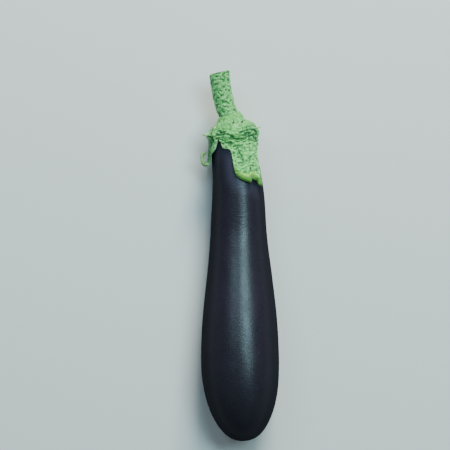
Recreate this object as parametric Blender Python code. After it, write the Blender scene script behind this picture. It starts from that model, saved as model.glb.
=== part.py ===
# A long violet eggplant, lying on its side as picked: the fruit, its calyx and the cut stem.
# Run it with blender --background --python part.py, or from Blender's text editor.
#
# Metres, +Z up. +Y runs along the fruit towards the stem. The origin is the middle of the
# small flat spot that the fruit rests on. An angle round the fruit is 0 on its upper side
# and grows towards +X. A station is a length along the fruit from its blossom end.

import math

import bmesh
import bpy
import numpy as np
from mathutils import Matrix, Vector

# The fruit
FRUIT_LENGTH = 0.236
BELLY_RADIUS = 0.0291
BLOSSOM_END_LENGTH = 0.067
BLOSSOM_END_FULLNESS = 2.5
CROWN_END_LENGTH = 0.009
DIMPLE_DEPTH = 0.0008
DIMPLE_RADIUS = 0.005
FLANK = (  # share of the length from the blossom end, share of the belly's radius
    (0.0, 0.985),
    (0.2, 1.0),
    (0.34, 0.972),
    (0.5, 0.852),
    (0.65, 0.727),
    (0.8, 0.652),
    (0.9, 0.578),
    (1.0, 0.555),
)
BROAD_RIDGES = 3
BROAD_RIDGE_SHARE = 0.008
BROAD_RIDGE_TURN = 20.0
BROAD_RIDGES_FADE = (0.6, 0.9)  # from and to, shares of the length
FRUIT_SIDES = 42
FRUIT_RINGS = 42
FRUIT_SHARP_DEGREES = 30
PROFILE_SAMPLES = 4001

# The line that the fruit and the stem grow along
BLOSSOM_END_Y = -0.111
SPINE = (  # Y, sideways X, height Z
    (-0.111, 0.0039, 0.0350),
    (-0.070, 0.0010, 0.0312),
    (-0.030, 0.0002, 0.0273),
    (0.010, 0.0000, 0.0237),
    (0.045, -0.0007, 0.0214),
    (0.080, -0.0017, 0.0227),
    (0.105, -0.0045, 0.0246),
    (0.117, -0.0052, 0.0255),
    (0.125, -0.0066, 0.0262),
    (0.134, -0.0097, 0.0271),
    (0.146, -0.0130, 0.0287),
    (0.163, -0.0151, 0.0312),
)
SPINE_STEP = 0.0001

# The calyx
TISSUE_GAP = 0.0004
SHOULDER_STATION = 0.2305
WALL = 0.0014
SHOULDER_WALL = 0.0030
SHOULDER_REACH = 0.008
THIN_REACH = 0.005  # how far from the edge the shoulder's wall has thinned
LIP_WALL = 0.0028
LIP_LENGTH = 0.0085
LIP_DEPTHS = (0.015, 0.033)  # an edge this deep has no lip, and one this deep has it all
EDGE_ROUNDING = 0.55
OUTER_SHARE = 0.6
CALYX_RADIUS = 0.0185
CROWN = (  # station, outer radius, from the collar round the stem down to the shoulder
    (0.2416, 0.0086),
    (0.2401, 0.0090),
    (0.2385, 0.0105),
    (0.2365, 0.0122),
    (0.2345, 0.0148),
    (0.2323, 0.0171),
)
CROWN_OFFSET = 0.0022  # how far the crown is fuller towards -X than +X, and where
CROWN_OFFSET_STATION = 0.2358
CROWN_OFFSET_REACH = 0.0022
COLLAR_EDGE = 0.0003
COLLAR_GAP = 0.00048
CROWN_LINING_LIFT = 0.00076
SINUSES = (  # angle of the slit's point in degrees, its depth below the shoulder
    (-39.0, 0.0044),
    (33.0, 0.0366),
    (100.0, 0.0110),
    (170.0, 0.0130),
    (244.0, 0.0090),
)
LOBES = (  # angle and depth of the tip, how full its lip is, the shapes of its two sides, and
    # the arcs that it bends out in: depth below the shoulder, length, degrees
    (25.0, 0.0392, 1.0, "stepped", "round", ((0.030, 0.0116, 22.0),)),
    (52.0, 0.0424, 1.0, "round", "steep", ((0.030, 0.0116, 11.0),)),
    (140.0, 0.0330, 0.5, "round", "round", ((0.024, 0.0090, 8.0),)),
    (207.0, 0.0350, 0.5, "round", "round", ((0.024, 0.0090, 8.0),)),
    (
        *(270.0, 0.0372, 0.7, "round", "tapered"),
        ((0.007, 0.0060, 5.0), (0.0212, 0.0080, 172.0), (0.0318, 0.0042, 90.0)),
    ),
)
MOST_ARCS = 3
LOBE_SIDES = {  # from slit to tip: share of the angle between them, share of the length
    "round": (
        *((0, 0), (0.14, 0.21), (0.36, 0.26), (0.53, 0.34), (0.59, 0.50)),
        *((0.61, 0.68), (0.68, 0.83), (0.82, 0.94), (1, 1)),
    ),
    "stepped": (
        *((0, 0), (0.055, 0.075), (0.11, 0.145), (0.175, 0.235), (0.26, 0.25), (0.38, 0.255)),
        *((0.475, 0.29), (0.51, 0.36), (0.52, 0.48), (0.53, 0.66), (0.57, 0.81), (0.73, 0.92)),
        (1, 1),
    ),
    "steep": (
        *((0, 0), (0.42, 0.07), (0.58, 0.15), (0.71, 0.25), (0.78, 0.38)),
        *((0.81, 0.60), (0.865, 0.82), (0.94, 0.95), (1, 1)),
    ),
    "tapered": (
        *((0, 0), (0.05, 0.08), (0.10, 0.155), (0.19, 0.26), (0.30, 0.305), (0.45, 0.35)),
        *((0.60, 0.42), (0.68, 0.51), (0.74, 0.64), (0.81, 0.80), (0.90, 0.95), (1, 1)),
    ),
}
SIDE_SAMPLES = 800
FOLD_HEIGHT = 0.0005
FOLD_PITCH = 0.0034
FOLD_MIDDLE = 0.004
FOLD_REACH = 0.006
FOLD_WAVERS = ((3, 1.5, 0.4), (8, 0.9, 2.0))  # times round the fruit, radians, start
FOLDED_DEPTH = 0.007
FOLDED_ROWS = 6
LOBE_ROWS = 20
LOBE_ROW_CROWDING = 1.3
CROWN_LINING_ROWS = 3
COLUMN_SPACING = 0.0045
COLUMN_SHARE_OF_BEND = 0.005
EDGE_SPACING = 0.0003
SHOULDER_FOLLOWS_EDGE = 0.6  # 0: columns even round the shoulder, 1: straight down the skirt
GREEN_SHARP_DEGREES = 40

# The prickles
PRICKLE_RADIUS = 0.0016
PRICKLE_TIP_RADIUS = 0.00012
PRICKLE_FULL_LENGTH = 0.0046
PRICKLE_ROOT = 0.0012
PRICKLE_SIDES = 6
PRICKLES = (  # angle in degrees, depth below the shoulder, length, lean towards the stem
    (-86.0, 0.0018, 0.0062, 0.15),
    (6.0, -0.0050, 0.0036, 0.4),
    (29.0, -0.0038, 0.0038, 0.4),
    (84.0, 0.0004, 0.0037, -0.1),
    (47.0, 0.0300, 0.0034, 0.2),
    (128.0, 0.0015, 0.0040, 0.1),
    (222.0, -0.0005, 0.0040, 0.3),
    (-58.0, -0.0045, 0.0028, 0.4),
)

# The stem
STEM_RADIUS = 0.0071
STEM_CUT_RADIUS = 0.0074
STEM_ROOT_STATION = 0.2366
STEM_CUT_STATION = 0.273
STEM_RIBS = 5
STEM_RIB_SHARE = 0.03
STEM_RIB_TWIST = 1.2
STEM_KNOB_HEIGHT = 0.0003
STEM_KNOB_PITCH = 0.0045
STEM_KNOB_WAVER = (2, 2.5, 0.7)  # times round the stem, radians, start
STEM_SMOOTH_LENGTH = 0.004
STEM_CUT_SLANT = 0.0012
STEM_SLANT_FROM = 0.7
STEM_SLANT_TURN = 0.6
STEM_SIDES = 30
STEM_RINGS = 20


def curve_through(points):
    """A natural cubic spline through (x, y) points, as a function of x."""
    x, y = np.array(points, float).T
    steps = np.diff(x)
    slopes = np.diff(y) / steps
    size = len(x)
    matrix = np.eye(size)
    right = np.zeros(size)
    for i in range(1, size - 1):
        matrix[i, i - 1 : i + 2] = steps[i - 1], 2 * (steps[i - 1] + steps[i]), steps[i]
        right[i] = 6 * (slopes[i] - slopes[i - 1])
    bend = np.linalg.solve(matrix, right)

    def value(at):
        at = np.asarray(at, float)
        i = np.clip(np.searchsorted(x, at) - 1, 0, size - 2)
        step, after = steps[i], at - x[i]
        before = step - after
        return (
            (bend[i] * before**3 + bend[i + 1] * after**3) / (6 * step)
            + (y[i] / step - bend[i] * step / 6) * before
            + (y[i + 1] / step - bend[i + 1] * step / 6) * after
        )

    return value


def smooth_step(x, low, high):
    t = np.clip((np.asarray(x, float) - low) / (high - low), 0, 1)
    return t * t * (3 - 2 * t)


spine_x = curve_through([(y, x) for y, x, _ in SPINE])
spine_z = curve_through([(y, z) for y, _, z in SPINE])
flank = curve_through(FLANK)


def spine_point(station):
    y = BLOSSOM_END_Y + np.asarray(station, float)
    return np.stack([spine_x(y), y, spine_z(y)], axis=-1)


def place(station, radius, angle):
    """World points at a radius and an angle round the spine, square to it at each station."""
    station, radius, angle = np.broadcast_arrays(station, radius, angle)
    along = spine_point(station + SPINE_STEP) - spine_point(station - SPINE_STEP)
    along /= np.linalg.norm(along, axis=-1, keepdims=True)
    across = np.cross(along, (0.0, 0.0, 1.0))
    across /= np.linalg.norm(across, axis=-1, keepdims=True)
    up = np.cross(across, along)
    return spine_point(station) + radius[..., None] * (
        np.sin(angle)[..., None] * across + np.cos(angle)[..., None] * up
    )


def fruit_profile(station):
    """The fruit's mean radius: the flank's curve, closed at both ends by superellipse caps."""
    station = np.clip(station, 0, FRUIT_LENGTH)
    from_blossom = np.clip(1 - station / BLOSSOM_END_LENGTH, 0, 1)
    from_crown = np.clip(1 - (FRUIT_LENGTH - station) / CROWN_END_LENGTH, 0, 1)
    blossom_cap = np.sqrt(1 - from_blossom**BLOSSOM_END_FULLNESS)
    crown_cap = np.sqrt(1 - from_crown**2)
    return BELLY_RADIUS * flank(station / FRUIT_LENGTH) * blossom_cap * crown_cap


def fruit_radius(station, angle):
    """The mean radius with three broad soft ridges, which fade out towards the neck."""
    ridges = np.cos(BROAD_RIDGES * (np.asarray(angle) - math.radians(BROAD_RIDGE_TURN)))
    fade = 1 - smooth_step(station / FRUIT_LENGTH, *BROAD_RIDGES_FADE)
    return fruit_profile(station) * (1 + BROAD_RIDGE_SHARE * fade * ridges)


def grid_faces(rows, columns):
    """Quads between closed rings of points, one ring after another."""
    faces = []
    for row in range(rows - 1):
        for column in range(columns):
            beside = (column + 1) % columns
            low, high = row * columns, (row + 1) * columns
            faces.append((low + column, low + beside, high + beside, high + column))
    return faces


def new_object(name, points, faces, material):
    mesh = bpy.data.meshes.new(name)
    mesh.from_pydata([tuple(p) for p in points], [], faces)
    mesh.materials.append(material)
    obj = bpy.data.objects.new(name, mesh)
    bpy.context.collection.objects.link(obj)
    return obj


def edit_mesh(obj):
    edited = bmesh.new()
    edited.from_mesh(obj.data)
    return edited


def finish_mesh(obj, edited, sharp_degrees):
    bmesh.ops.recalc_face_normals(edited, faces=edited.faces)
    edited.to_mesh(obj.data)
    edited.free()
    obj.data.shade_smooth()
    obj.data.set_sharp_from_angle(angle=math.radians(sharp_degrees))


def plain_material(name, colour, roughness):
    material = bpy.data.materials.new(name)
    material.use_nodes = True
    shader = material.node_tree.nodes["Principled BSDF"]
    shader.inputs["Base Color"].default_value = (*colour, 1.0)
    shader.inputs["Roughness"].default_value = roughness
    shader.inputs["Metallic"].default_value = 0.0
    material.diffuse_color = (*colour, 1.0)
    return material


def evenly_along(profile, length, count):
    """Stations inside 0 to length that divide the profile's own arc into equal parts."""
    stations = np.linspace(0, length, PROFILE_SAMPLES)
    radii = profile(stations)
    arc = np.concatenate([[0], np.cumsum(np.hypot(np.diff(stations), np.diff(radii)))])
    return np.interp(np.linspace(0, arc[-1], count + 2)[1:-1], arc, stations)


def make_fruit(material):
    """Rings round the spine with a point at each end, and the resting spot cut flat."""
    stations = evenly_along(fruit_profile, FRUIT_LENGTH, FRUIT_RINGS)
    angles = np.arange(FRUIT_SIDES) * math.tau / FRUIT_SIDES
    station, angle = np.meshgrid(stations, angles, indexing="ij")
    radius = fruit_radius(station, angle)
    dimple = DIMPLE_DEPTH * np.exp(-((radius / DIMPLE_RADIUS) ** 2)) * (station < BLOSSOM_END_LENGTH)
    rings = place(station + dimple, radius, angle).reshape(-1, 3)
    blossom_end = place(DIMPLE_DEPTH, 0.0, 0.0)
    crown_end = place(FRUIT_LENGTH, 0.0, 0.0)
    points = [*rings, blossom_end, crown_end]
    faces = grid_faces(FRUIT_RINGS, FRUIT_SIDES)
    last = (FRUIT_RINGS - 1) * FRUIT_SIDES
    for side in range(FRUIT_SIDES):
        beside = (side + 1) % FRUIT_SIDES
        faces.append((side, len(rings), beside))
        faces.append((last + side, last + beside, len(rings) + 1))
    fruit = new_object("fruit", points, faces, material)

    edited = edit_mesh(fruit)
    everything = [*edited.verts, *edited.edges, *edited.faces]
    bmesh.ops.bisect_plane(
        edited, geom=everything, plane_co=(0, 0, 0), plane_no=(0, 0, -1), clear_outer=True
    )
    rim = [edge for edge in edited.edges if edge.is_boundary]
    bmesh.ops.contextual_create(edited, geom=rim)
    finish_mesh(fruit, edited, FRUIT_SHARP_DEGREES)
    return fruit


def rounded_line(values, samples):
    """A broken line through evenly spaced values, its corners rounded by a moving average."""
    line = np.interp(np.linspace(0, len(values) - 1, samples), np.arange(len(values)), values)
    width = samples // len(values) | 1
    window = np.hanning(width + 2)[1:-1]
    longer = np.pad(line, width // 2, mode="reflect", reflect_type="odd")
    return np.convolve(longer, window / window.sum(), "valid")


def lobe_side(slit, tip, shape, side, count):
    """One side of a lobe from its slit to just short of its tip: for evenly spaced columns,
    the angle at the shoulder, and the angle and the depth at the edge."""
    (slit_angle, slit_depth), (tip_angle, tip_depth) = slit, tip
    span = math.radians((tip_angle - slit_angle) * side % 360)
    angles, depths = zip(*LOBE_SIDES[shape])
    turned = span * rounded_line(angles, SIDE_SAMPLES)
    deeper = (tip_depth - slit_depth) * rounded_line(depths, SIDE_SAMPLES)
    steps = np.hypot(np.diff(turned) * CALYX_RADIUS, np.diff(deeper))
    arc = np.concatenate([[0], np.cumsum(steps)])
    share = np.arange(count) / count
    if side == -1:
        share = 1 - share
    stops = share * arc[-1]
    at_edge = np.interp(stops, arc, turned)
    at_shoulder = span * share + (at_edge - span * share) * SHOULDER_FOLLOWS_EDGE
    start = math.radians(slit_angle)
    return np.stack(
        [
            start + side * at_shoulder,
            start + side * at_edge,
            slit_depth + np.interp(stops, arc, deeper),
        ]
    )


def calyx_columns(spacing, bend_share=0.0):
    """The columns round the calyx: angle at the shoulder, angle and depth at the edge, how
    full the lip is, and the start, length and degrees of each arc that it bends out in. The
    edge runs from each slit down one side of a lobe to its tip, and back up its other side."""
    columns = []
    for i, (tip_angle, tip_depth, fullness, *shapes, arcs) in enumerate(LOBES):
        slits = SINUSES[i], SINUSES[(i + 1) % len(SINUSES)]
        spare_arcs = (MOST_ARCS - len(arcs)) * ((0.0, 1.0, 0.0),)
        values = np.array([fullness, *np.ravel(arcs + spare_arcs)])
        bend = math.radians(sum(degrees for _, _, degrees in arcs))
        for side, slit, shape in zip((1, -1), slits, shapes):
            span = math.radians((tip_angle - slit[0]) * side % 360)
            run = CALYX_RADIUS * span + tip_depth - slit[1] + bend_share * bend
            count = round(run / spacing)
            edge = lobe_side(slit, (tip_angle, tip_depth), shape, side, count)
            columns.append(np.concatenate([edge, np.repeat(values[:, None], count, axis=1)]))
    return np.concatenate(columns, axis=1)


def distance_to_edge(angle, depth):
    """How far a point of the skirt, rolled out flat, is from the calyx's edge."""
    edge_angle, edge_depth = calyx_columns(EDGE_SPACING)[1:3]
    turned = np.remainder(angle[..., None] - edge_angle + math.pi, math.tau) - math.pi
    return np.hypot(turned * CALYX_RADIUS, depth[..., None] - edge_depth).min(axis=-1)


def crown_offset(station, angle):
    """How much less the crown stands out on its +X side than on average."""
    bell = np.exp(-(((station - CROWN_OFFSET_STATION) / CROWN_OFFSET_REACH) ** 2))
    return CROWN_OFFSET * bell * np.sin(angle)


def fold_relief(angle, depth):
    """Wavering ridges across the shoulder, strongest a little below it."""
    waver = sum(reach * np.sin(times * angle + start) for times, reach, start in FOLD_WAVERS)
    band = np.exp(-(((depth - FOLD_MIDDLE) / FOLD_REACH) ** 2))
    return FOLD_HEIGHT * band * np.sin(math.tau * depth / FOLD_PITCH + waver)


def calyx_section():
    """The closed loop of (station, radius, angle) rows that the calyx's wall is made of: out
    over the crown, down the skirt to the edge and back up the lining."""
    columns = calyx_columns(COLUMN_SPACING, COLUMN_SHARE_OF_BEND)
    crown_angle, edge_angle, length, fullness = columns[:4]

    # The skirt's middle surface: each column runs down the fruit and may bend away from it.
    folded = np.minimum(FOLDED_DEPTH, length / 2)
    across_folds = np.linspace(0, 1, FOLDED_ROWS, endpoint=False)[:, None] * folded
    down_lobe = 1 - np.linspace(1, 0, LOBE_ROWS + 1)[:, None] ** LOBE_ROW_CROWDING
    depth = np.concatenate([across_folds, folded + down_lobe * (length - folded)])
    angle = crown_angle + (edge_angle - crown_angle) * depth / length
    lean = 0
    for arc_start, arc_length, arc_degrees in columns[4:].reshape(MOST_ARCS, 3, -1):
        lean = lean + np.radians(arc_degrees) * np.clip((depth - arc_start) / arc_length, 0, 1)
    step = np.diff(depth, axis=0, prepend=0)
    down = np.cumsum(step * np.cos(lean), axis=0)
    out = np.cumsum(step * np.sin(lean), axis=0)
    lip = smooth_step(depth, length - LIP_LENGTH, length) * smooth_step(length, *LIP_DEPTHS)
    wall = WALL + (LIP_WALL - WALL) * lip * fullness
    to_edge = distance_to_edge(angle, depth)
    swelling = (1 - smooth_step(depth, 0, SHOULDER_REACH)) * smooth_step(to_edge, 0, THIN_REACH)
    wall += (SHOULDER_WALL - WALL) * swelling
    from_edge = np.clip(to_edge / (EDGE_ROUNDING * wall), 0, 1)
    from_edge[-1] = 0
    rounded = np.sqrt(1 - (1 - from_edge) ** 2)
    outer = (OUTER_SHARE * wall + fold_relief(angle, depth)) * rounded
    inner = (1 - OUTER_SHARE) * wall * rounded
    station = SHOULDER_STATION - down
    middle = fruit_radius(station, angle) + TISSUE_GAP + (1 - OUTER_SHARE) * wall + out
    skirt = (station + outer * np.sin(lean), middle + outer * np.cos(lean), angle)

    # The lining comes back up along the fruit's skin, with fewer rows under the folds.
    rows = [*range(len(depth) - 2, FOLDED_ROWS, -1), FOLDED_ROWS // 2, 0]
    lining = (
        (station - inner * np.sin(lean))[rows],
        (middle - inner * np.cos(lean))[rows],
        angle[rows],
    )

    # Under the crown the lining follows the fruit's top up to the hole that holds the stem.
    hole = STEM_RADIUS * (1 + STEM_RIB_SHARE) + COLLAR_GAP
    under = np.linspace(SHOULDER_STATION, FRUIT_LENGTH - TISSUE_GAP, PROFILE_SAMPLES)
    reach = np.interp(hole, fruit_profile(under)[::-1], under[::-1])
    way = np.linspace(0, 1, CROWN_LINING_ROWS + 1)[1:, None]
    under_station = SHOULDER_STATION + (reach - SHOULDER_STATION) * way
    crown_lining = (
        under_station + CROWN_LINING_LIFT * way,
        np.maximum(fruit_profile(under_station) + TISSUE_GAP, hole),
        crown_angle,
    )

    # The crown's outside: a hollow cone from the collar at the stem out to the shoulder.
    crown_station, crown_radius = np.array(CROWN).T[:, :, None]
    crown = (crown_station, crown_radius - crown_offset(crown_station, crown_angle), crown_angle)
    collar_hole = (CROWN[0][0] - COLLAR_EDGE, hole, crown_angle)
    parts = (crown, skirt, lining, crown_lining, collar_hole)
    whole = [np.stack([np.atleast_2d(a) for a in np.broadcast_arrays(*part)]) for part in parts]
    return np.concatenate(whole, axis=1)


def make_prickle(name, angle, depth, length, lean, material):
    """A cone square to the calyx but for its lean, with its root sunk into the wall."""
    station = SHOULDER_STATION - depth
    if depth < 0:
        stations, radii = np.array(CROWN[::-1]).T
        radius = np.interp(station, stations, radii) - crown_offset(station, angle)
    else:
        swelling = 1 - smooth_step(depth, 0, SHOULDER_REACH)
        wall = WALL + (SHOULDER_WALL - WALL) * swelling
        radius = fruit_profile(station) + TISSUE_GAP + wall
    foot = Vector(place(station, radius - PRICKLE_ROOT, angle))
    aim = Vector(place(station, radius + length, angle)) - foot
    aim += Vector((0, lean * length, 0))
    edited = bmesh.new()
    bmesh.ops.create_cone(
        edited,
        cap_ends=True,
        segments=PRICKLE_SIDES,
        radius1=PRICKLE_RADIUS * min(1, length / PRICKLE_FULL_LENGTH),
        radius2=PRICKLE_TIP_RADIUS,
        depth=length + PRICKLE_ROOT,
    )
    half = (length + PRICKLE_ROOT) / 2
    turn = aim.to_track_quat("Z", "Y").to_matrix().to_4x4()
    bmesh.ops.transform(edited, matrix=turn @ Matrix.Translation((0, 0, half)), verts=edited.verts)
    bmesh.ops.translate(edited, vec=foot, verts=edited.verts)
    prickle = new_object(name, [], [], material)
    edited.to_mesh(prickle.data)
    edited.free()
    return prickle


def make_calyx(material):
    """The wall as a ring of columns, with the prickles joined to it by one Boolean union."""
    station, radius, angle = calyx_section()
    rows, columns = station.shape
    points = place(station, radius, angle).reshape(-1, 3)
    faces = grid_faces(rows, columns)
    last = (rows - 1) * columns
    for column in range(columns):
        beside = (column + 1) % columns
        faces.append((last + column, last + beside, beside, column))
    calyx = new_object("calyx", points, faces, material)
    finish_mesh(calyx, edit_mesh(calyx), GREEN_SHARP_DEGREES)

    prickles = bpy.data.collections.new("prickles")
    bpy.context.scene.collection.children.link(prickles)
    for i, (degrees, *measures) in enumerate(PRICKLES):
        prickle = make_prickle(f"prickle_{i}", math.radians(degrees), *measures, material)
        bpy.context.collection.objects.unlink(prickle)
        prickles.objects.link(prickle)
    union = calyx.modifiers.new("prickles", "BOOLEAN")
    union.operation = "UNION"
    union.operand_type = "COLLECTION"
    union.collection = prickles
    union.solver = "EXACT"
    bpy.context.view_layer.update()
    graph = bpy.context.evaluated_depsgraph_get()
    joined = bpy.data.meshes.new_from_object(calyx.evaluated_get(graph))
    calyx.modifiers.clear()
    calyx.data = joined
    for prickle in list(prickles.objects):
        bpy.data.objects.remove(prickle)
    bpy.data.collections.remove(prickles)
    return calyx


def make_stem(material):
    """A ribbed, knobbly tube along the spine: root under the collar, slanting cut at the top."""
    angles = np.arange(STEM_SIDES) * math.tau / STEM_SIDES
    share = np.linspace(0, 1, STEM_RINGS)
    station = STEM_ROOT_STATION + (STEM_CUT_STATION - STEM_ROOT_STATION) * share
    station, angle = np.meshgrid(station, angles, indexing="ij")
    share = share[:, None]
    clear = smooth_step(station, CROWN[0][0], CROWN[0][0] + STEM_SMOOTH_LENGTH)
    ribs = STEM_RIB_SHARE * np.cos(STEM_RIBS * angle + STEM_RIB_TWIST * share)
    times, reach, start = STEM_KNOB_WAVER
    waver = reach * np.sin(times * angle + start)
    knobs = STEM_KNOB_HEIGHT * clear * np.sin(math.tau * station / STEM_KNOB_PITCH + waver)
    radius = (STEM_RADIUS + (STEM_CUT_RADIUS - STEM_RADIUS) * share**2) * (1 + ribs) + knobs
    slant = STEM_CUT_SLANT * smooth_step(share, STEM_SLANT_FROM, 1) * np.sin(angle + STEM_SLANT_TURN)
    rings = place(station + slant, radius, angle).reshape(-1, 3)
    faces = grid_faces(STEM_RINGS, STEM_SIDES)
    last = (STEM_RINGS - 1) * STEM_SIDES
    faces.append(tuple(reversed(range(STEM_SIDES))))
    faces.append(tuple(last + side for side in range(STEM_SIDES)))
    stem = new_object("stem", rings, faces, material)
    finish_mesh(stem, edit_mesh(stem), GREEN_SHARP_DEGREES)
    return stem


def clear_scene():
    for obj in list(bpy.data.objects):
        bpy.data.objects.remove(obj)


def main():
    clear_scene()
    skin = plain_material("violet_black_skin", (0.013, 0.010, 0.020), 0.24)
    sepals = plain_material("calyx_green", (0.230, 0.420, 0.190), 0.62)
    stalk = plain_material("stem_green", (0.210, 0.380, 0.180), 0.66)
    eggplant = bpy.data.objects.new("eggplant", None)
    bpy.context.collection.objects.link(eggplant)
    for piece in (make_fruit(skin), make_calyx(sepals), make_stem(stalk)):
        piece.parent = eggplant


main()
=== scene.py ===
# A long violet eggplant lying on its side, seen from straight above.
# Metres, +Z up, +Y towards the stem. An angle round the fruit is 0 on its upper side and
# grows towards +X. A station is a length along the fruit from its blossom end, and a depth
# is a length down the calyx from its shoulder, less than 0 on the crown above it.

import math

import bpy
import numpy as np
from mathutils import Matrix


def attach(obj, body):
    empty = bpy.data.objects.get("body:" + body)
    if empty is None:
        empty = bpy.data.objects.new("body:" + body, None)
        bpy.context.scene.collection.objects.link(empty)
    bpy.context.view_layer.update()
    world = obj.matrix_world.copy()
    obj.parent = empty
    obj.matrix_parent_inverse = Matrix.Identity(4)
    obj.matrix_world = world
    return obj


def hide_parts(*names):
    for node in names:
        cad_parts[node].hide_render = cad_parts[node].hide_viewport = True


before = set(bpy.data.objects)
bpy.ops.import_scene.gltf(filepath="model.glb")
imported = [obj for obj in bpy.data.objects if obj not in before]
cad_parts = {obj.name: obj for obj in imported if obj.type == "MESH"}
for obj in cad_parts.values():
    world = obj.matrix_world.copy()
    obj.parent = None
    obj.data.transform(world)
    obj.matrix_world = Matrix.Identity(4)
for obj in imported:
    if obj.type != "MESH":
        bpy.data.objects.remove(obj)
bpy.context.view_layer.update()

millimetre = 0.001


# Curves and noise

def splineThrough(points):
    # a natural cubic spline through (x, y) points, as a function of x: the bending at the
    # inner points solves one tridiagonal system, and it is zero at both ends
    x, y = np.array(points, float).T
    steps = np.diff(x)
    slopes = np.diff(y) / steps
    inner = np.arange(1, len(x) - 1)
    matrix = np.eye(len(x))
    matrix[inner, inner - 1] = steps[:-1]
    matrix[inner, inner] = 2 * (steps[:-1] + steps[1:])
    matrix[inner, inner + 1] = steps[1:]
    right = np.zeros(len(x))
    right[inner] = 6 * np.diff(slopes)
    bend = np.linalg.solve(matrix, right)

    def value(at):
        at = np.asarray(at, float)
        i = np.clip(np.searchsorted(x, at) - 1, 0, len(x) - 2)
        step = steps[i]
        after = at - x[i]
        before = step - after
        curved = (bend[i] * before**3 + bend[i + 1] * after**3) / (6 * step)
        left = (y[i] / step - bend[i] * step / 6) * before
        return curved + left + (y[i + 1] / step - bend[i + 1] * step / 6) * after

    return value


def smoothStep(x, low, high):
    # 0 below low, 1 above high, and 3t^2 - 2t^3 between them
    t = np.clip((np.asarray(x, float) - low) / (high - low), 0, 1)
    return t * t * (3 - 2 * t)


def bell(x, middle, width):
    # exp(-t^2), where t is the distance to the middle in widths
    return np.exp(-(((x - middle) / width) ** 2))


def gradientNoise(points, cell, seed):
    # smooth noise from about -1 to 1: each corner of a cubic lattice has a random slope, and
    # the slopes of a cell's eight corners are blended by a fifth-degree curve
    dice = np.random.default_rng(seed)
    order = dice.permutation(256)
    slopes = dice.normal(size=(256, 3))
    slopes /= np.linalg.norm(slopes, axis=1, keepdims=True)
    scaled = np.asarray(points) / cell
    corner = np.floor(scaled).astype(int)
    within = scaled - corner
    eased = within**3 * (within * (within * 6 - 15) + 10)
    total = np.zeros(scaled.shape[:-1])
    for offset in np.ndindex(2, 2, 2):
        at = corner + offset
        pick = order[(order[(order[at[..., 0] & 255] + at[..., 1]) & 255] + at[..., 2]) & 255]
        weight = np.where(offset, eased, 1 - eased).prod(axis=-1)
        total += weight * (slopes[pick] * (within - offset)).sum(axis=-1)
    return 1.6 * total


def layeredNoise(points, cell, layers, seed):
    # the same noise at finer and finer cells, each layer half as strong as the one before
    total = 0
    for layer in range(layers):
        total = total + gradientNoise(points, cell / 2**layer, seed + layer) / 2**layer
    return total


# The line that the fruit and the stem grow along

spine = dict(
    blossomEndY=-0.111,
    points=[  # y, sideways x, height z
        (-0.111, 0.0039, 0.0350),
        (-0.070, 0.0010, 0.0312),
        (-0.030, 0.0002, 0.0273),
        (0.010, 0.0000, 0.0237),
        (0.045, -0.0007, 0.0214),
        (0.080, -0.0017, 0.0227),
        (0.105, -0.0045, 0.0246),
        (0.117, -0.0052, 0.0255),
        (0.125, -0.0066, 0.0262),
        (0.134, -0.0097, 0.0271),
        (0.146, -0.0130, 0.0287),
        (0.163, -0.0151, 0.0312),
    ],
)
spineX = splineThrough([(y, x) for y, x, _ in spine["points"]])
spineZ = splineThrough([(y, z) for y, _, z in spine["points"]])


def spinePoint(station):
    y = spine["blossomEndY"] + np.asarray(station, float)
    return np.stack([spineX(y), y, spineZ(y)], axis=-1)


def roundSpine(station, radius, angle):
    # spine point + radius * (sin(angle) * across + cos(angle) * up), where across and up are
    # square to the spine's own direction at that station
    station, radius, angle = np.broadcast_arrays(station, radius, angle)
    step = 0.1 * millimetre
    along = spinePoint(station + step) - spinePoint(station - step)
    along /= np.linalg.norm(along, axis=-1, keepdims=True)
    across = np.cross(along, (0.0, 0.0, 1.0))
    across /= np.linalg.norm(across, axis=-1, keepdims=True)
    up = np.cross(across, along)
    turned = np.sin(angle)[..., None] * across + np.cos(angle)[..., None] * up
    return spinePoint(station) + radius[..., None] * turned


# Meshes from grids of points

def ringFaces(rows, columns, loop=False):
    # four-cornered faces between closed rings of points; with loop the last ring also joins
    # the first, which makes a closed ring-shaped skin
    row = np.arange(rows if loop else rows - 1)[:, None]
    column = np.arange(columns)[None, :]
    low = row * columns
    high = (row + 1) % rows * columns
    beside = (column + 1) % columns
    corners = low + column, low + beside, high + beside, high + column
    return np.stack(np.broadcast_arrays(*corners), axis=-1).reshape(-1, 4)


def fanFaces(firstOfRing, columns, pole):
    # triangles from each side of one ring to a point at its middle
    column = np.arange(columns)
    beside = (column + 1) % columns
    corners = firstOfRing + column, firstOfRing + beside, np.full(columns, pole)
    return np.stack(corners, axis=-1)


def closedTube(rings, sides, first=0):
    # rings of points closed by a fan at each end; the fans' two points come after the rings
    poles = first + rings * sides
    return [
        ringFaces(rings, sides) + first,
        fanFaces(first, sides, poles)[:, ::-1],
        fanFaces(poles - sides, sides, poles + 1),
    ]


def meshPiece(name, points, faces, material, layers, replaces=None):
    # one finished piece: smooth faces, a number for each point in every named layer, its own
    # material, and its place on the frame's one body
    mesh = bpy.data.meshes.new(name)
    corners = [face for part in faces for face in part.tolist()]
    mesh.from_pydata(points.reshape(-1, 3).tolist(), [], corners)
    mesh.shade_smooth()
    for layer, values in layers.items():
        attribute = mesh.attributes.new(layer, "FLOAT", "POINT")
        attribute.data.foreach_set("value", np.asarray(values, np.float32).ravel())
    mesh.materials.append(material)
    piece = bpy.data.objects.new(name, mesh)
    bpy.context.scene.collection.objects.link(piece)
    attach(piece, "root")
    if replaces:
        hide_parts(replaces)
    print("made", name, "with", len(mesh.polygons), "faces")
    return piece


# Materials

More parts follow.
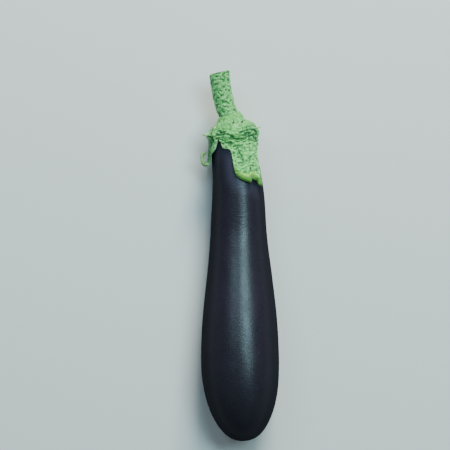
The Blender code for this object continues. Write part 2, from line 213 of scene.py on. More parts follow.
class Wire:
    # one output socket of a recipe, so that shader maths is written as an expression
    def __init__(self, recipe, socket):
        self.recipe = recipe
        self.socket = socket

    def maths(self, operation, first, second):
        return self.recipe.node("Math", {"operation": operation}, {0: first, 1: second})

    def __add__(self, other):
        return self.maths("ADD", self, other)

    def __radd__(self, other):
        return self.maths("ADD", other, self)

    def __sub__(self, other):
        return self.maths("SUBTRACT", self, other)

    def __rsub__(self, other):
        return self.maths("SUBTRACT", other, self)

    def __mul__(self, other):
        return self.maths("MULTIPLY", self, other)

    def __rmul__(self, other):
        return self.maths("MULTIPLY", other, self)

    def __pow__(self, other):
        return self.maths("POWER", self, other)

    def between(self, low, high):
        # 0 below low, 1 above high, smooth between them
        settings = {"interpolation_type": "SMOOTHSTEP"}
        sockets = {"Value": self, "From Min": low, "From Max": high}
        return self.recipe.node("MapRange", settings, sockets)


class Recipe:
    # one material: node() adds any node, and constants go straight onto the shader
    def __init__(self, name, **constants):
        self.material = bpy.data.materials.new(name)
        self.material.use_nodes = True
        self.tree = self.material.node_tree
        self.shader = self.tree.nodes["Principled BSDF"]
        self.place = self.node("TexCoord", {}, {}, "Object")
        for socket, value in constants.items():
            self.feed(socket, value)

    def node(self, kind, settings, sockets, output=0):
        made = self.tree.nodes.new("ShaderNode" + kind)
        for setting, value in settings.items():
            setattr(made, setting, value)
        for socket, value in sockets.items():
            self.join(made.inputs[socket], value)
        return Wire(self, made.outputs[output])

    def join(self, socket, value):
        if isinstance(value, Wire):
            self.tree.links.new(value.socket, socket)
        else:
            socket.default_value = value

    def feed(self, socket, value):
        self.join(self.shader.inputs[socket], value)

    def layer(self, name):
        return self.node("Attribute", {"attribute_name": name}, {}, "Fac")

    def noise(self, size, detail=2.0, stretch=(1.0, 1.0, 1.0)):
        # noise in cells of that size in metres, longer where stretch is above 1
        scale = tuple(1 / (size * s) for s in stretch)
        where = self.node("Mapping", {}, {"Vector": self.place, "Scale": scale})
        return self.node("TexNoise", {}, {"Vector": where, "Scale": 1.0, "Detail": detail})

    def mix(self, share, first, second):
        # from the first colour at share 0 to the second at share 1
        sockets = {0: share, 6: colour(first), 7: colour(second)}
        return self.node("Mix", {"data_type": "RGBA"}, sockets, 2)

    def dull(self, share, tint):
        # a second shader without any gloss takes over where share is high
        matt = self.tree.nodes.new("ShaderNodeBsdfDiffuse")
        matt.inputs["Color"].default_value = tint
        blend = self.tree.nodes.new("ShaderNodeMixShader")
        self.join(blend.inputs[0], share)
        self.tree.links.new(self.shader.outputs[0], blend.inputs[1])
        self.tree.links.new(matt.outputs[0], blend.inputs[2])
        self.tree.links.new(blend.outputs[0], self.tree.nodes["Material Output"].inputs["Surface"])

    def bump(self, height, distance, strength=1.0, over=None):
        sockets = {"Height": height, "Distance": distance, "Strength": strength}
        if over:
            sockets["Normal"] = over
        return self.node("Bump", {}, sockets)


def colour(value):
    return value if isinstance(value, Wire) else (*value, 1.0)


skinFinish = dict(
    core=(0.0118, 0.0110, 0.0172),
    violet=(0.0190, 0.0130, 0.0270),
    fleck=(0.0500, 0.0420, 0.0700),
    young=(0.0900, 0.0250, 0.0650),  # where the calyx has kept the light off
    youngReach=3.5 * millimetre,
    # painted sheen: a paler blue-violet near the calyx that stands in for a reflection, and how far
    # from its edge it reaches
    paintedSheen=(0.0360, 0.0330, 0.0560),
    paintedSheenReach=13 * millimetre,
    scar=(0.1500, 0.0950, 0.0560),
    roughness=0.29,
    edgeRoughness=0.55,
    edgeDullness=0.80,  # how much of the gloss is gone where the skin turns away
    dullFrom=0.03,
    dullTo=0.52,
)


def skinMaterial():
    # nearly black violet under a waxy gloss, redder in soft patches and just below the calyx, with
    # a painted sheen, a paler blue-violet band further below it that stands in for a reflection,
    # and a corky scar at the blossom end
    finish = skinFinish
    skin = Recipe("eggplantSkin", **{"Specular IOR Level": 0.38})
    patches = skin.noise(22 * millimetre, 3.0, (1.0, 2.2, 1.0)).between(0.42, 0.72)
    flecks = skin.noise(0.9 * millimetre, 2.0, (2.0, 1.0, 2.0)).between(0.58, 0.78)
    base = skin.mix(0.75 * patches, finish["core"], finish["violet"])
    base = skin.mix(0.35 * flecks, base, finish["fleck"])
    young = 1 - skin.layer("edgeDistance").between(0.0, finish["youngReach"])
    base = skin.mix(0.7 * young * patches, base, finish["young"])
    # painted sheen: a paler blue-violet band below the calyx's edge that stands in for a reflection
    paintedSheenReach = finish["paintedSheenReach"]
    nearCalyx = 1 - skin.layer("edgeDistance").between(0.2 * paintedSheenReach, paintedSheenReach)
    base = skin.mix(0.8 * nearCalyx, base, finish["paintedSheen"])
    scar = skin.layer("scar")
    skin.feed("Base Color", skin.mix(scar, base, finish["scar"]))
    smudges = skin.noise(9 * millimetre, 4.0, (1.0, 2.0, 1.0)).between(0.35, 0.75)
    facing = skin.node("LayerWeight", {}, {"Blend": 0.5}, "Facing")
    grazing = finish["edgeRoughness"] * facing**1.3
    worn = 0.07 * smudges + 0.06 * flecks
    skin.feed("Roughness", finish["roughness"] + worn + grazing + 0.3 * scar)
    ripples = skin.noise(0.8 * millimetre, 3.0, (5.0, 1.0, 5.0))
    pores = skin.noise(0.9 * millimetre, 2.0)
    waves = skin.bump(ripples, 0.10 * millimetre, 1.0)
    skin.feed("Normal", skin.bump(pores, 0.07 * millimetre, 1.0, waves))
    turnedAway = facing.between(finish["dullFrom"], finish["dullTo"])
    skin.dull(finish["edgeDullness"] * turnedAway, colour(finish["core"]))
    return skin.material


calyxFinish = dict(
    crown=(0.100, 0.460, 0.078),
    lobe=(0.210, 0.760, 0.175),
    # dark green for painted shade in the hollows and along the lips' grooves, and for the dark specks
    # and grain
    shadeAndSpeckGreen=(0.008, 0.130, 0.028),
    # pale green of the edge and the specks, also the painted highlight on the folds' backs
    rim=(0.320, 0.690, 0.270),
    lip=(0.055, 0.200, 0.004),
    # painted highlight on top of the lips' roll
    creamHighlight=(0.260, 0.600, 0.035),
    prickle=(0.400, 0.640, 0.300),
    thorn=(0.070, 0.040, 0.020),
    shaded=(0.020, 0.110, 0.035),  # the side lobe that hangs in the fruit's shade
    roughness=0.62,
)


def calyxMaterial():
    # leafy green: darker in every crease, partly its own colour and partly painted shade; a painted
    # highlight, paler, on the folds' backs; paler along the edge; finely speckled; and on the puffed
    # lips a clear green that turns to a painted cream highlight on top
    finish = calyxFinish
    leaf = Recipe("calyxLeaf", **{"Sheen Weight": 0.18, "Sheen Roughness": 0.5})
    relief = leaf.layer("relief")
    lip = leaf.layer("lip")
    low = leaf.layer("lowness")
    mottle = leaf.noise(3.0 * millimetre, 4.0)
    specks = leaf.noise(1.5 * millimetre, 3.0, (1.3, 1.0, 1.3))
    grain = leaf.noise(0.4 * millimetre, 2.0)
    inward = leaf.layer("edgeDistance")
    base = leaf.mix(low, finish["crown"], finish["lobe"])
    base = leaf.mix(0.5 * mottle.between(0.40, 0.70), base, finish["crown"])
    # painted shade: darker green down in every hollow of the relief, partly the leaf's own colour
    base = leaf.mix(0.86 * (1 - relief.between(-0.75, 0.05)), base, finish["shadeAndSpeckGreen"])
    # painted highlight: the pale rim green on the raised backs of the folds
    base = leaf.mix(0.50 * relief.between(0.10, 0.6), base, finish["rim"])
    dots = specks.between(0.52, 0.64) * (1 - 0.5 * lip)
    base = leaf.mix(dots * (0.66 + 0.16 * low), base, finish["shadeAndSpeckGreen"])
    base = leaf.mix(0.55 * (1 - specks.between(0.34, 0.48)) * (1 - lip), base, finish["rim"])
    # painted highlight: the roll goes from the lip's green at the edge to cream on its top
    roll = leaf.mix(inward.between(2.6 * millimetre, 4.4 * millimetre), finish["lip"], finish["creamHighlight"])
    onRoll = lip.between(0.05, 0.4) * (1 - inward.between(5.0 * millimetre, 6.2 * millimetre))
    base = leaf.mix(0.93 * onRoll, base, roll)
    # painted shade: a darker green line along the groove above each lip's roll
    grooveShadeStart = inward.between(5.0 * millimetre, 5.8 * millimetre)
    grooveShadeEnd = 1 - inward.between(6.0 * millimetre, 7.6 * millimetre)
    grooveShade = grooveShadeStart * grooveShadeEnd * lip.between(0.01, 0.1)
    base = leaf.mix(0.5 * grooveShade, base, finish["shadeAndSpeckGreen"])
    rim = 1 - inward.between(0.4 * millimetre, 1.2 * millimetre)
    base = leaf.mix(0.80 * rim * (1 - lip), base, finish["rim"])
    base = leaf.mix(0.25 * grain.between(0.52, 0.74), base, finish["shadeAndSpeckGreen"])
    base = leaf.mix(leaf.layer("shade"), base, finish["shaded"])
    base = leaf.mix(leaf.layer("thorn"), base, finish["prickle"])
    leaf.feed("Base Color", leaf.mix(leaf.layer("thornTip"), base, finish["thorn"]))
    leaf.feed("Roughness", finish["roughness"] + 0.12 * grain - 0.04 * lip)
    pebbles = leaf.bump(mottle, 0.5 * millimetre, 0.6)
    warts = leaf.bump((1 - specks) * (1 - 0.8 * lip), 1.0 * millimetre, 0.9, pebbles)
    leaf.feed("Normal", leaf.bump(grain, 0.15 * millimetre, 0.7, warts))
    return leaf.material


stemFinish = dict(
    light=(0.165, 0.540, 0.150),
    dark=(0.040, 0.270, 0.060),
    corky=(0.320, 0.560, 0.190),
    pith=(0.620, 0.660, 0.420),
    ring=(0.220, 0.360, 0.120),
    dried=(0.420, 0.330, 0.180),
    roughness=0.66,
)


def stemMaterial():
    # knobbly green stalk with paler corky knobs and painted shade, a darker green, down in the pits
    # between them; the cut shows a pale pith inside a green ring
    finish = stemFinish
    stalk = Recipe("stemStalk", **{"Sheen Weight": 0.15, "Sheen Roughness": 0.5})
    relief = stalk.layer("relief")
    cut = stalk.layer("cut")
    across = stalk.layer("cutRadius")
    fibres = stalk.noise(0.8 * millimetre, 3.0, (1.0, 7.0, 1.0))
    mottle = stalk.noise(3.0 * millimetre, 4.0)
    grain = stalk.noise(0.5 * millimetre, 3.0)
    # painted shade: darker green the deeper the relief's pits go
    base = stalk.mix(relief.between(-1.15, -0.10), finish["dark"], finish["light"])
    base = stalk.mix(0.35 * mottle.between(0.45, 0.75), base, finish["dark"])
    base = stalk.mix(0.35 * relief.between(0.5, 1.1), base, finish["corky"])
    base = stalk.mix(0.30 * fibres.between(0.5, 0.7), base, finish["light"])
    warts = stalk.noise(1.5 * millimetre, 3.0)
    base = stalk.mix(0.50 * warts.between(0.52, 0.64), base, finish["dark"])
    base = stalk.mix(0.45 * (1 - warts.between(0.34, 0.48)), base, finish["corky"])
    face = stalk.mix(across.between(0.62, 0.80), finish["pith"], finish["ring"])
    face = stalk.mix(0.5 * mottle.between(0.45, 0.65), face, finish["dried"])
    stalk.feed("Base Color", stalk.mix(cut, base, face))
    stalk.feed("Roughness", finish["roughness"] + 0.12 * grain)
    rough = stalk.bump(fibres - 1.5 * warts, 0.6 * millimetre, 0.8)
    stalk.feed("Normal", stalk.bump(grain, 0.2 * millimetre, 0.7, rough))
    return stalk.material


# The calyx's edge, which the fruit's skin needs too

calyx = dict(
    gap=0.4 * millimetre,  # between the calyx and the fruit
    shoulderStation=0.2305,
    wall=1.4 * millimetre,
    shoulderWall=3.0 * millimetre,
    shoulderReach=8 * millimetre,
    thinReach=5 * millimetre,
    lipWall=2.8 * millimetre,
    lipLength=8.5 * millimetre,
    lipFrom=15 * millimetre,  # an edge less deep than this has no lip, and
    lipTo=33 * millimetre,  # one deeper than this has a full one
    edgeRounding=0.55,
    outerShare=0.6,
    radius=18.5 * millimetre,
    crown=[  # station, outer radius, from the collar on the stem down to the shoulder
        (0.2421, 0.0074),
        (0.2416, 0.0082),
        (0.2401, 0.0089),
        (0.2385, 0.0105),
        (0.2365, 0.0122),
        (0.2345, 0.0148),
        (0.2323, 0.0171),
    ],
    crownOffset=2.2 * millimetre,  # how much fuller the crown is towards -X, and where
    crownOffsetStation=0.2358,
    crownOffsetReach=2.2 * millimetre,
    slits=[  # angle of the slit's point in degrees, its depth
        (-39.0, 0.0044),
        (33.0, 0.0366),
        (100.0, 0.0110),
        (170.0, 0.0130),
        (244.0, 0.0090),
    ],
    lobes=[  # tip angle and depth, how full its lip is, the shapes of its two sides, and the
        # arcs that it bends out in: depth, length, degrees
        (25.0, 0.0392, 1.0, "stepped", "round", [(0.030, 0.0116, 22.0)]),
        (52.0, 0.0424, 1.0, "round", "steep", [(0.030, 0.0116, 11.0)]),
        (140.0, 0.0330, 0.5, "round", "round", [(0.024, 0.0090, 8.0)]),
        (207.0, 0.0350, 0.5, "round", "round", [(0.024, 0.0090, 8.0)]),
        (270.0, 0.0372, 0.7, "round", "tapered",
         [(0.007, 0.0060, 5.0), (0.0212, 0.0080, 172.0), (0.0318, 0.0042, 90.0)]),
    ],
    sides=dict(  # from slit to tip: share of the angle between them, share of the length
        round=[(0, 0), (0.14, 0.21), (0.36, 0.26), (0.53, 0.34), (0.59, 0.50), (0.61, 0.68),
               (0.68, 0.83), (0.82, 0.94), (1, 1)],
        stepped=[(0, 0), (0.055, 0.075), (0.11, 0.145), (0.175, 0.235), (0.26, 0.25), (0.38, 0.255),
                 (0.475, 0.29), (0.51, 0.36), (0.52, 0.48), (0.53, 0.66), (0.57, 0.81), (0.73, 0.92),
                 (1, 1)],
        steep=[(0, 0), (0.42, 0.07), (0.58, 0.15), (0.71, 0.25), (0.78, 0.38), (0.81, 0.60),
               (0.865, 0.82), (0.94, 0.95), (1, 1)],
        tapered=[(0, 0), (0.05, 0.08), (0.10, 0.155), (0.19, 0.26), (0.30, 0.305), (0.45, 0.35),
                 (0.60, 0.42), (0.68, 0.51), (0.74, 0.64), (0.81, 0.80), (0.90, 0.95), (1, 1)],
    ),
    sideSamples=800,
    columnSpacing=0.66 * millimetre,
    edgeSpacing=0.3 * millimetre,
    shoulderFollowsEdge=0.6,  # 0: columns even round the shoulder, 1: straight down the skirt
    crownRows=26,
    foldedRows=42,
    foldedDepth=9 * millimetre,
    lobeRows=60,
    rowCrowding=1.35,
    liningRows=16,
    holeGap=0.45 * millimetre,  # between the crown's hole and its collar's radius
    holeSearch=(0.2355, 0.2305),  # the fruit is as wide as the hole between these stations
    underRows=4,
    collarStations=(0.2392, 0.2414),
    collarEdge=0.15 * millimetre,
    curlLean=(40, 90, 140, 190),  # the curled lobe is puffed out between these leans
    shadeAngle=-92,  # the side that hangs in the fruit's shade
    shadeReach=(22, 40),
    shadeShare=0.75,
    shadeTop=(3 * millimetre, 9 * millimetre),  # the shade comes in between these depths
    shadeBottom=(20 * millimetre, 24 * millimetre),  # and goes out between these
    curlShade=0.7,
    hiddenShade=0.5,
    crownFade=20 * millimetre,  # how far down the crown's green goes over into the lobes'
)


def lobeSide(slit, tip, shape, direction, count):
    # one side of a lobe from its slit to its tip: a broken line through the side's points with
    # its corners rounded by a moving average, divided evenly along its length
    span = math.radians((tip[0] - slit[0]) * direction % 360)
    points = np.array(calyx["sides"][shape], float)
    at = np.linspace(0, len(points) - 1, calyx["sideSamples"])
    width = calyx["sideSamples"] // len(points) | 1
    window = np.hanning(width + 2)[1:-1] / np.hanning(width + 2).sum()
    turned, deeper = [
        np.convolve(np.pad(np.interp(at, np.arange(len(points)), values), width // 2,
                           mode="reflect", reflect_type="odd"), window, "valid")
        for values in points.T
    ]
    turned = turned * span
    deeper = deeper * (tip[1] - slit[1])
    steps = np.hypot(np.diff(turned) * calyx["radius"], np.diff(deeper))
    length = np.concatenate([[0], np.cumsum(steps)])
    share = np.arange(count) / count
    share = share if direction == 1 else 1 - share
    atEdge = np.interp(share * length[-1], length, turned)
    atShoulder = span * share + (atEdge - span * share) * calyx["shoulderFollowsEdge"]
    start = math.radians(slit[0])
    down = slit[1] + np.interp(share * length[-1], length, deeper)
    return start + direction * atShoulder, start + direction * atEdge, down


def calyxColumns(spacing):
    # columns round the calyx, down each lobe's one side and up its other: angle at the
    # shoulder, angle and depth at the edge, fullness of the lip, then three arcs
    columns = []
    for i, (tipAngle, tipDepth, fullness, first, second, arcs) in enumerate(calyx["lobes"]):
        slits = calyx["slits"][i], calyx["slits"][(i + 1) % len(calyx["slits"])]
        for direction, slit, shape in zip((1, -1), slits, (first, second)):
            span = math.radians((tipAngle - slit[0]) * direction % 360)
            count = round((calyx["radius"] * span + tipDepth - slit[1]) / spacing)
            side = lobeSide(slit, (tipAngle, tipDepth), shape, direction, count)
            threeArcs = (arcs + 2 * [(0.0, 1.0, 0.0)])[:3]
            bends = [value for arc in threeArcs for value in arc]
            same = [np.full(count, value) for value in (fullness, *bends)]
            columns.append(np.stack([*side, *same]))
    return np.concatenate(columns, axis=1)


edgeColumns = calyxColumns(calyx["edgeSpacing"])


def distanceToEdge(angle, depth):
    # the least distance to the calyx's edge on the fruit rolled out flat, one ring at a time
    edgeAngle, edgeDepth = edgeColumns[1:3]
    rings = []
    for ringAngle, ringDepth in zip(angle, depth):
        turned = np.remainder(ringAngle[:, None] - edgeAngle + math.pi, math.tau) - math.pi
        rings.append(np.hypot(turned * calyx["radius"], ringDepth[:, None] - edgeDepth).min(axis=1))
    return np.array(rings)


# The fruit

fruit = dict(
    length=0.236,
    bellyRadius=29.1 * millimetre,
    blossomEndLength=67 * millimetre,
    blossomEndFullness=2.5,
    crownEndLength=9 * millimetre,
    flank=[  # share of the length from the blossom end, share of the belly's radius
        (0.0, 0.985),
        (0.2, 1.0),
        (0.34, 0.972),
        (0.5, 0.852),
        (0.65, 0.727),
        (0.8, 0.652),
        (0.9, 0.578),
        (1.0, 0.555),
    ],
    broadRidges=3,
    broadRidgeTurn=20,
    broadRidgeShare=0.008,
    broadRidgesFade=(0.6, 0.9),
    dimpleDepth=0.8 * millimetre,
    dimpleRadius=8 * millimetre,  # wider than the solid's, to stay inside its facets
    scarRadius=1.7 * millimetre,
    scarDepth=0.18 * millimetre,
    lumpHeight=0.22 * millimetre,
    lumpSize=34 * millimetre,
    smallLumpSize=12 * millimetre,
    smallLumpShare=0.35,
    profileSamples=6001,
    rings=380,
    sides=250,
    restSoftness=0.25 * millimetre,
)
flank = splineThrough(fruit["flank"])


def fruitProfile(station):
    # belly radius * flank curve * a superelliptic cap at each end
    station = np.clip(station, 0, fruit["length"])
    fromBlossom = np.clip(1 - station / fruit["blossomEndLength"], 0, 1)
    fromCrown = np.clip(1 - (fruit["length"] - station) / fruit["crownEndLength"], 0, 1)
    caps = np.sqrt(1 - fromBlossom ** fruit["blossomEndFullness"]) * np.sqrt(1 - fromCrown**2)
    return fruit["bellyRadius"] * flank(station / fruit["length"]) * caps


def fruitRadius(station, angle):
    # the profile times 1 + a small cosine of three times the angle, which fades at the neck
    turned = np.asarray(angle) - math.radians(fruit["broadRidgeTurn"])
    ridges = np.cos(fruit["broadRidges"] * turned)
    start, end = fruit["broadRidgesFade"]
    fade = 1 - smoothStep(station, start * fruit["length"], end * fruit["length"])
    return fruitProfile(station) * (1 + fruit["broadRidgeShare"] * fade * ridges)


def makeFruit(material):
    # rings at equal steps along the profile's own arc, each a little lumpy; the blossom end is
    # pushed in by a bell curve with a ragged scar sunk in it, and the underside rests on z = 0
    stations = np.linspace(0, fruit["length"], fruit["profileSamples"])
    steps = np.hypot(np.diff(stations), np.diff(fruitProfile(stations)))
    arc = np.concatenate([[0], np.cumsum(steps)])
    stations = np.interp(np.linspace(0, arc[-1], fruit["rings"] + 2)[1:-1], arc, stations)
    angles = np.arange(fruit["sides"]) * math.tau / fruit["sides"]
    station, angle = np.meshgrid(stations, angles, indexing="ij")
    radius = fruitRadius(station, angle)
    plain = roundSpine(station, radius, angle)
    fullness = smoothStep(radius, 0, 0.4 * fruit["bellyRadius"])
    lumps = gradientNoise(plain, fruit["lumpSize"], 11)
    lumps += fruit["smallLumpShare"] * gradientNoise(plain, fruit["smallLumpSize"], 12)
    radius = radius + fruit["lumpHeight"] * fullness * lumps

    blossomEnd = station < fruit["blossomEndLength"]
    dimple = fruit["dimpleDepth"] * bell(radius, 0, fruit["dimpleRadius"]) * blossomEnd
    ragged = 1 + 0.35 * gradientNoise(plain, 1.6 * millimetre, 13)
    scarRadius = fruit["scarRadius"]
    scar = (1 - smoothStep(radius * ragged, 0.7 * scarRadius, 1.15 * scarRadius)) * blossomEnd
    crust = fruit["scarDepth"] * scar * (1 + gradientNoise(plain, 0.7 * millimetre, 14))
    points = roundSpine(station + dimple + crust, radius, angle).reshape(-1, 3)
    ends = np.array([fruit["dimpleDepth"] + fruit["scarDepth"], fruit["length"]])
    points = np.concatenate([points, roundSpine(ends, 0.0, 0.0)])
    soft = fruit["restSoftness"]
    points[:, 2] = 0.5 * (points[:, 2] + np.sqrt(points[:, 2] ** 2 + soft**2))  # never below z = 0

    faces = closedTube(*station.shape)
    depth = calyx["shoulderStation"] - station
    near = np.full(station.shape, 1.0)
    upper = stations > 0.75 * fruit["length"]  # the rest is far from the calyx
    near[upper] = distanceToEdge(angle[upper], depth[upper])
    layers = dict(
        edgeDistance=np.append(near, [1.0, 0.0]),
        scar=np.append(scar, [1.0, 0.0]),
    )
    return meshPiece("eggplantFruit", points, faces, material, layers, "fruit")


# The calyx

prickle = dict(
    radius=1.7 * millimetre,
    root=1.0 * millimetre,
    rings=16,
    sides=18,
    coneShare=0.72,
    flareShare=0.45,
    flareReach=0.22,
    hook=0.18,  # how far the tip hooks over, in lengths
    longest=5.8 * millimetre,
    tipRadius=0.02 * millimetre,
    brownReach=(0.20, 0.55),
    each=[  # angle in degrees, depth, length, lean towards the stem, how brown its tip is
        (-86.0, 0.0018, 0.0062, 0.15, 0.2),
        (6.0, -0.0050, 0.0040, 0.4, 1.0),
        (29.0, -0.0038, 0.0042, 0.4, 1.0),
        (84.0, 0.0004, 0.0037, -0.1, 0.2),
        (47.0, 0.0300, 0.0038, 0.2, 0.0),
        (128.0, 0.0015, 0.0040, 0.1, 0.5),
        (222.0, -0.0005, 0.0040, 0.3, 0.5),
        (-58.0, -0.0045, 0.0028, 0.4, 0.7),
    ],
)


calyxRelief = dict(
    warp=2.4 * millimetre,  # how far the folds wander, over this size
    warpSize=8 * millimetre,
    foldHeight=1.1 * millimetre,
    foldAround=7.0 * millimetre,
    foldDown=2.1 * millimetre,
    foldTop=-1.6 * millimetre,
    foldBottom=15 * millimetre,
    meshHeight=0.72 * millimetre,
    meshSize=2.0 * millimetre,
    pebbleHeight=0.40 * millimetre,
    pebbleSize=1.5 * millimetre,
    ribHeight=0.35 * millimetre,
    ribWidth=3.2 * millimetre,
    rollHeight=1.2 * millimetre,
    rollMiddle=3.0 * millimetre,
    rollWidth=2.0 * millimetre,
    grooveDepth=0.8 * millimetre,
    grooveMiddle=6.2 * millimetre,
    rimHeight=0.22 * millimetre,
    rimWidth=0.7 * millimetre,
    curlFill=1.0 * millimetre,
    footHeight=1.3 * millimetre,
    footRadius=2.0 * millimetre,
    creases=[  # angle in degrees, depth, half length, half width, deepness
        (10.1, 0.0163, 0.0044, 0.00120, 0.0017),
        (16.8, 0.0215, 0.0045, 0.00070, 0.0006),
        (-1.0, 0.0120, 0.0022, 0.00060, 0.0006),
        (-14.0, 0.0095, 0.0018, 0.00060, 0.0006),
        (24.0, 0.0080, 0.0022, 0.00060, 0.0006),
        (33.0, 0.0330, 0.0050, 0.00080, 0.0010),
        (52.0, 0.0350, 0.0050, 0.00055, 0.0006),
        (42.5, 0.0298, 0.0028, 0.00075, 0.0011),
        (52.5, 0.0290, 0.0028, 0.00075, 0.0011),
        (150.0, 0.0180, 0.0060, 0.00080, 0.0006),
        (206.0, 0.0190, 0.0060, 0.00080, 0.0006),
        (272.0, 0.0130, 0.0040, 0.00080, 0.0006),
    ],
)


def turnBetween(angle, degrees):
    # how far an angle is from one given in degrees, between half a turn back and forward
    return np.remainder(angle - math.radians(degrees) + math.pi, math.tau) - math.pi


def creaseRelief(angle, depth):
    # the sum of long narrow bell-shaped grooves down the lobes, each swaying a little
    total = 0
    for degrees, middle, halfLength, halfWidth, deepness in calyxRelief["creases"]:
        along = (depth - middle) / halfLength
        sway = 0.5 * halfWidth * np.sin(4 * along)
        off = (turnBetween(angle, degrees) * calyx["radius"] - sway) / halfWidth
        total = total - deepness * np.exp(-(off**2)) * np.exp(-(along**4))
    return total


def ribRelief(angle, depth):
    # a low rounded rib down the middle of each lobe, from below the shoulder to near its tip
    total = 0
    for degrees, tipDepth, *_ in calyx["lobes"]:
        across = turnBetween(angle, degrees) * calyx["radius"] / calyxRelief["ribWidth"]
        down = smoothStep(depth, 2 * millimetre, 12 * millimetre)
        down = down * smoothStep(depth, tipDepth, 0.7 * tipDepth)
        total = total + np.exp(-(across**2)) * down
    return calyxRelief["ribHeight"] * total


def footRelief(angle, depth):
    # a bell-shaped mound round the foot of each prickle, as high as the prickle is long
    total = 0
    for degrees, middle, length, *_ in prickle["each"]:
        size = length / prickle["longest"]
        across = turnBetween(angle, degrees) * calyx["radius"]
        off = np.hypot(across, depth - middle) / (calyxRelief["footRadius"] * (0.5 + 0.5 * size))
        total = total + calyxRelief["footHeight"] * size * np.exp(-(off**2))
    return total


def pitted(noise):
    # rounded bulges where a noise is high, and separate steep-sided pits where it is low
    return 0.7 * noise - 0.9 * smoothStep(-noise, 0.10, 0.42)


def calyxReliefAt(angle, depth, lip, edgeDistance):
    # folds across the shoulder, from a noise that is stretched round the fruit; a finer mesh of
    # wrinkles and pebbles; a puffed roll along the lips with a groove above it; a thin raised
    # rim; then ribs, grooves and the feet of the prickles
    values = calyxRelief
    around = calyx["radius"] * np.stack([np.sin(angle), np.cos(angle)], axis=-1)
    flat = np.concatenate([around, depth[..., None]], axis=-1)
    warp = values["warp"] * gradientNoise(flat, values["warpSize"], 21)
    squeezed = (depth + warp) * values["foldAround"] / values["foldDown"]
    stretched = np.concatenate([around, squeezed[..., None]], axis=-1)
    puff = pitted(gradientNoise(stretched, values["foldAround"], 22))
    top, bottom = values["foldTop"], values["foldBottom"]
    band = smoothStep(depth, top - 2 * millimetre, top + 2 * millimetre)
    band = band * (1 - 0.85 * smoothStep(depth, 0.35 * bottom, bottom))
    net = pitted(gradientNoise((flat + warp[..., None]) * (0.6, 0.6, 1.0), values["meshSize"], 24))
    net = net * (0.6 + 0.4 * band) * (0.6 + 0.4 * smoothStep(depth, top - 4 * millimetre, 0))
    pebbles = layeredNoise(flat, values["pebbleSize"], 2, 25)
    smooth = 1 - 0.7 * lip
    shape = values["foldHeight"] * band * puff
    shape = shape + (values["meshHeight"] * net + values["pebbleHeight"] * pebbles) * smooth
    roll = bell(edgeDistance, values["rollMiddle"], values["rollWidth"])
    groove = bell(edgeDistance, values["grooveMiddle"], 0.8 * values["rollWidth"])
    shape = shape + lip * (values["rollHeight"] * roll - values["grooveDepth"] * groove)
    rim = bell(edgeDistance, values["rimWidth"], 0.6 * values["rimWidth"])
    shape = shape + values["rimHeight"] * rim * (1 - lip) + ribRelief(angle, depth) * smooth
    return shape + creaseRelief(angle, depth) + footRelief(angle, depth)


def skirtRows(columns):
    # the skirt's middle surface: each column runs down the fruit, and where its lobe bends
    # out it follows the integral of (cos(lean), sin(lean)), the lean growing evenly along each
    # arc; the wall swells at the shoulder and the lips, and closes at the edge as a quarter
    # ellipse of the distance to it
    top, edgeAngle, edgeDepth, fullness = columns[:4]
    folded = np.minimum(calyx["foldedDepth"], edgeDepth / 2)
    acrossFolds = np.linspace(0, 1, calyx["foldedRows"], endpoint=False)[:, None] * folded
    downLobe = 1 - np.linspace(1, 0, calyx["lobeRows"] + 1)[:, None] ** calyx["rowCrowding"]
    depth = np.concatenate([acrossFolds, folded + downLobe * (edgeDepth - folded)])
    angle = top + (edgeAngle - top) * depth / edgeDepth
    lean = 0
    for start, length, degrees in columns[4:].reshape(3, 3, -1):
        lean = lean + np.radians(degrees) * np.clip((depth - start) / length, 0, 1)
    step = np.diff(depth, axis=0, prepend=0)
    down = np.cumsum(step * np.cos(lean), axis=0)
    out = np.cumsum(step * np.sin(lean), axis=0)
    lip = smoothStep(depth, edgeDepth - calyx["lipLength"], edgeDepth)
    lip = lip * fullness * smoothStep(edgeDepth, calyx["lipFrom"], calyx["lipTo"])
    edgeDistance = distanceToEdge(angle, depth)
    edgeDistance[-1] = 0
    swelling = 1 - smoothStep(depth, 0, calyx["shoulderReach"])
    swelling = swelling * smoothStep(edgeDistance, 0, calyx["thinReach"])
    wall = calyx["wall"] + (calyx["lipWall"] - calyx["wall"]) * lip
    wall = wall + (calyx["shoulderWall"] - calyx["wall"]) * swelling
    share = np.clip(edgeDistance / (calyx["edgeRounding"] * wall), 0, 1)
    rounded = np.sqrt(1 - (1 - share) ** 2)
    station = calyx["shoulderStation"] - down
    middle = fruitRadius(station, angle) + calyx["gap"] + (1 - calyx["outerShare"]) * wall + out
    return dict(
        angle=angle, depth=depth, lean=lean, wall=wall, rounded=rounded, lip=lip,
        station=station, middle=middle, edgeDistance=edgeDistance,
    )


def crownOffset(station, angle):
    # a bell curve along the crown times the angle's sine
    along = bell(station, calyx["crownOffsetStation"], calyx["crownOffsetReach"])
    return calyx["crownOffset"] * along * np.sin(angle)


def crownRows(skirt):
    # the crown's profile is a spline through its own points and the skirt's first rows, with
    # depth going on upwards as a length along it
    shoulder = [0, calyx["foldedRows"] // 6]
    outer = skirt["middle"] + calyx["outerShare"] * skirt["wall"]
    points = calyx["crown"] + [(skirt["station"][row, 0], outer[row, 0]) for row in shoulder]
    station, radius = np.array(points).T
    length = np.concatenate([[0], np.cumsum(np.hypot(np.diff(station), np.diff(radius)))])
    stationAt = splineThrough(list(zip(length, station)))
    radiusAt = splineThrough(list(zip(length, radius)))
    at = np.linspace(0, length[-2], calyx["crownRows"], endpoint=False)
    step = 0.05 * millimetre
    along = stationAt(at + step) - stationAt(at - step)
    outward = radiusAt(at + step) - radiusAt(at - step)
    size = np.hypot(along, outward)
    normal = np.stack([outward / size, -along / size])
    return stationAt(at), radiusAt(at), at - length[-2], normal


